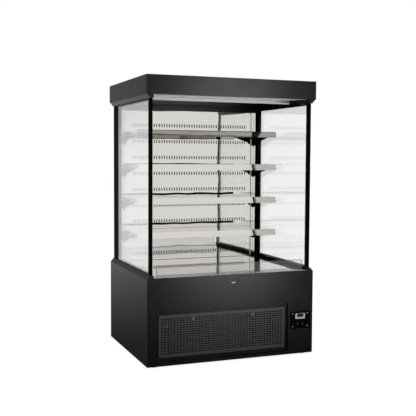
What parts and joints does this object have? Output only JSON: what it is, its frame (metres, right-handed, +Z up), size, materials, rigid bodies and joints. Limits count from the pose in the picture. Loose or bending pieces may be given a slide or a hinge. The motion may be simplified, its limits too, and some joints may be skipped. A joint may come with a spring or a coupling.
{
  "type": "open multideck display fridge",
  "caption": "Upright open-front display fridge with glass sides, lift-off shelves, slotted rear air duct, night blind, lamp and a cooling unit behind a perforated grille.",
  "frame": {"origin": "on the floor under the centre of the whole fridge", "axes": "+Z up, the open front faces -Y, +X to the right of someone who faces the front"},
  "size_m": [1.21, 0.96, 1.89],
  "materials": {
    "black_powder_coat": "satin black powder coat",
    "black_plastic": "matte black moulded plastic",
    "silver_plastic": "satin silver plastic",
    "screw_steel": "zinc plated",
    "stainless": "bright polished stainless sheet",
    "foam_wall": "foam core with a painted skin",
    "clear_glass": "clear double glazing",
    "clear_acrylic": "clear riser",
    "aluminium": "satin anodised",
    "milky_plastic": "milky white",
    "blind_fabric": "silver-grey coated night blind cloth",
    "machine_steel": "gloss black paint",
    "fan_plastic": "moulded black plastic",
    "copper": "bright copper tube"
  },
  "bodies": {
    "cabinet": {"base_chassis": "black_powder_coat", "base_front_panel": "black_powder_coat", "base_side_panel_left": "black_powder_coat", "base_side_panel_right": "black_powder_coat", "blind_cassette": "aluminium", "canopy_shell": "black_powder_coat", "ceiling_panel": "stainless", "compressor": "machine_steel", "condensate_tray": "stainless", "condenser_coil": "aluminium", "condenser_fan_shroud": "machine_steel", "control_plate": "black_plastic", "controller": "silver_plastic", "cord_gland": "black_plastic", "duct_panel": "stainless", "electrical_box": "black_plastic", "evaporator_coil": "aluminium", "evaporator_fan_plate": "stainless", "front_ledge": "stainless", "front_post_left": "black_powder_coat", "front_post_right": "black_powder_coat", "front_riser": "clear_acrylic", "glass_spacers": "black_plastic", "grille_panel": "black_powder_coat", "honeycomb_outlet": "milky_plastic", "insulated_tub": "foam_wall", "lamp_diffuser": "milky_plastic", "lamp_housing": "aluminium", "panel_screws": "screw_steel", "rear_post_left": "black_powder_coat", "rear_post_right": "black_powder_coat", "rear_service_panel": "black_powder_coat", "rear_wall": "foam_wall", "refrigerant_pipes": "copper", "shelf_brackets_1": "black_powder_coat", "shelf_brackets_2": "black_powder_coat", "shelf_brackets_3": "black_powder_coat", "shelf_brackets_4": "black_powder_coat", "side_glass_left": "clear_glass", "side_glass_right": "clear_glass", "top_rail_frame": "black_powder_coat", "upright_left": "stainless", "upright_right": "stainless"},
    "foot_front_left": {"levelling_foot_1": "screw_steel"},
    "foot_front_right": {"levelling_foot_2": "screw_steel"},
    "foot_rear_right": {"levelling_foot_3": "screw_steel"},
    "foot_rear_left": {"levelling_foot_4": "screw_steel"},
    "condenser_fan_body": {"condenser_fan": "fan_plastic"},
    "evaporator_fan_left_body": {"evaporator_fan_left": "fan_plastic"},
    "evaporator_fan_right_body": {"evaporator_fan_right": "fan_plastic"},
    "blind_bar": {"blind_pull_bar": "aluminium", "blind_cloth": "blind_fabric"},
    "blind_tube": {"blind_roller": "aluminium"},
    "shelf_1_body": {"shelf_1": "stainless"},
    "shelf_2_body": {"shelf_2": "stainless"},
    "shelf_3_body": {"shelf_3": "stainless"},
    "shelf_4_body": {"shelf_4": "stainless"},
    "deck": {"deck_pan": "stainless"},
    "light_button_body": {"light_button": "black_plastic"},
    "power_button_body": {"power_button": "black_plastic"}
  },
  "joints": [
    {"name": "foot_front_left_turn", "type": "hinge", "parent": "cabinet", "child": "foot_front_left", "pos_m": [-0.54, -0.415, 0.02], "axis": [0, 0, 1], "continuous": true},
    {"name": "foot_front_right_turn", "type": "hinge", "parent": "cabinet", "child": "foot_front_right", "pos_m": [0.54, -0.415, 0.02], "axis": [0, 0, 1], "continuous": true},
    {"name": "foot_rear_right_turn", "type": "hinge", "parent": "cabinet", "child": "foot_rear_right", "pos_m": [0.54, 0.415, 0.02], "axis": [0, 0, 1], "continuous": true},
    {"name": "foot_rear_left_turn", "type": "hinge", "parent": "cabinet", "child": "foot_rear_left", "pos_m": [-0.54, 0.415, 0.02], "axis": [0, 0, 1], "continuous": true},
    {"name": "condenser_fan_spin", "type": "hinge", "parent": "cabinet", "child": "condenser_fan_body", "pos_m": [-0.15, -0.3855, 0.2], "axis": [0, 1, 0], "continuous": true},
    {"name": "evaporator_fan_left_spin", "type": "hinge", "parent": "cabinet", "child": "evaporator_fan_left_body", "pos_m": [-0.21, -0.017, 0.507], "axis": [0, 1, 0], "continuous": true},
    {"name": "evaporator_fan_right_spin", "type": "hinge", "parent": "cabinet", "child": "evaporator_fan_right_body", "pos_m": [0.21, -0.017, 0.507], "axis": [0, 1, 0], "continuous": true},
    {"name": "blind_pull_down", "type": "slide", "parent": "cabinet", "child": "blind_bar", "axis": [0, 0, -1], "range_m": [0, 1.08], "stiffness_N_per_m": 20, "springref_m": -0.9, "deforming": ["blind_cloth"]},
    {"name": "blind_tube_turn", "type": "hinge", "parent": "cabinet", "child": "blind_tube", "pos_m": [0, -0.4222, 1.7997], "axis": [1, 0, 0], "range_deg": [0, 2900]},
    {"name": "shelf_1_pull_out", "type": "slide", "parent": "cabinet", "child": "shelf_1_body", "axis": [0, -1, 0], "range_m": [0, 0.3]},
    {"name": "shelf_2_pull_out", "type": "slide", "parent": "cabinet", "child": "shelf_2_body", "axis": [0, -1, 0], "range_m": [0, 0.3]},
    {"name": "shelf_3_pull_out", "type": "slide", "parent": "cabinet", "child": "shelf_3_body", "axis": [0, -1, 0], "range_m": [0, 0.3]},
    {"name": "shelf_4_pull_out", "type": "slide", "parent": "cabinet", "child": "shelf_4_body", "axis": [0, -1, 0], "range_m": [0, 0.3]},
    {"name": "deck_lift_out", "type": "slide", "parent": "cabinet", "child": "deck", "axis": [0, 0, 1], "range_m": [0, 0.12]},
    {"name": "light_button_press", "type": "slide", "parent": "cabinet", "child": "light_button_body", "axis": [0, 1, 0], "range_m": [0, 0.002], "stiffness_N_per_m": 600, "springref_m": -0.001},
    {"name": "power_button_press", "type": "slide", "parent": "cabinet", "child": "power_button_body", "axis": [0, 1, 0], "range_m": [0, 0.002], "stiffness_N_per_m": 600, "springref_m": -0.001}
  ],
  "couplings": [
    {"joint": "blind_tube_turn", "follows": "blind_pull_down", "rad_per_m": 44.444}
  ]
}
